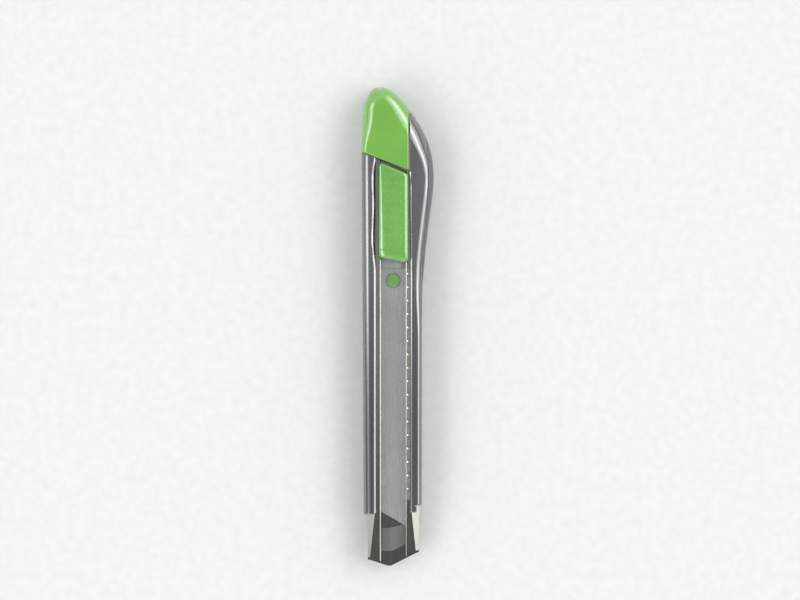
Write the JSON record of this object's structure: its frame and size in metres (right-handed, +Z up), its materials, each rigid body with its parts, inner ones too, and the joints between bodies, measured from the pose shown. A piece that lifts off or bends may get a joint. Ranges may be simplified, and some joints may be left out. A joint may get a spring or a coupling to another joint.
{
  "type": "utility knife",
  "caption": "Snap-off blade knife with a rounded handle, a thumb slider that locks the blade in the windows of a steel channel, and a pull-off end cap.",
  "frame": {"origin": "on the surface the knife lies on, under the middle of its bounding box", "axes": "+Z up out of the slider side, +Y towards the end cap, the nose towards -Y, the blade's edge towards +X"},
  "size_m": [0.0274, 0.182, 0.0147],
  "materials": {
    "handle_plastic": "gloss, dark cool grey",
    "grip_rubber": "matt, dark grey",
    "cap_plastic": "gloss, leaf green",
    "slider_plastic": "gloss, leaf green",
    "channel_steel": "bright rolled stainless sheet",
    "blade_steel": "fine-ground steel",
    "plate_steel": "zinc-plated sheet",
    "spring_steel": "bright spring steel",
    "screw_steel": "zinc-plated steel"
  },
  "bodies": {
    "handle": {"handle_body": "handle_plastic", "side_grip": "grip_rubber", "back_pad": "grip_rubber", "channel_screws": "screw_steel", "blade_channel": "channel_steel", "blade_support": "channel_steel"},
    "slider": {"slider_carriage": "slider_plastic", "holder_plate": "plate_steel", "blade_stud": "slider_plastic", "slider_rivets": "screw_steel", "lock_spring": "spring_steel", "button_spring": "spring_steel", "blade": "blade_steel"},
    "button": {"slider_button": "slider_plastic"},
    "cap": {"end_cap": "cap_plastic"}
  },
  "joints": [
    {"name": "blade_slide", "type": "slide", "parent": "handle", "child": "slider", "axis": [0, -1, 0], "range_m": [0, 0.0867], "deforming": ["lock_spring"]},
    {"name": "button_press", "type": "slide", "parent": "slider", "child": "button", "axis": [0, 0, -1], "range_m": [0, 0.0008], "stiffness_N_per_m": 2000, "springref_m": -0.0005, "deforming": ["button_spring", "lock_spring"]},
    {"name": "cap_pull", "type": "slide", "parent": "handle", "child": "cap", "axis": [0, 1, 0], "range_m": [0, 0.04]}
  ]
}
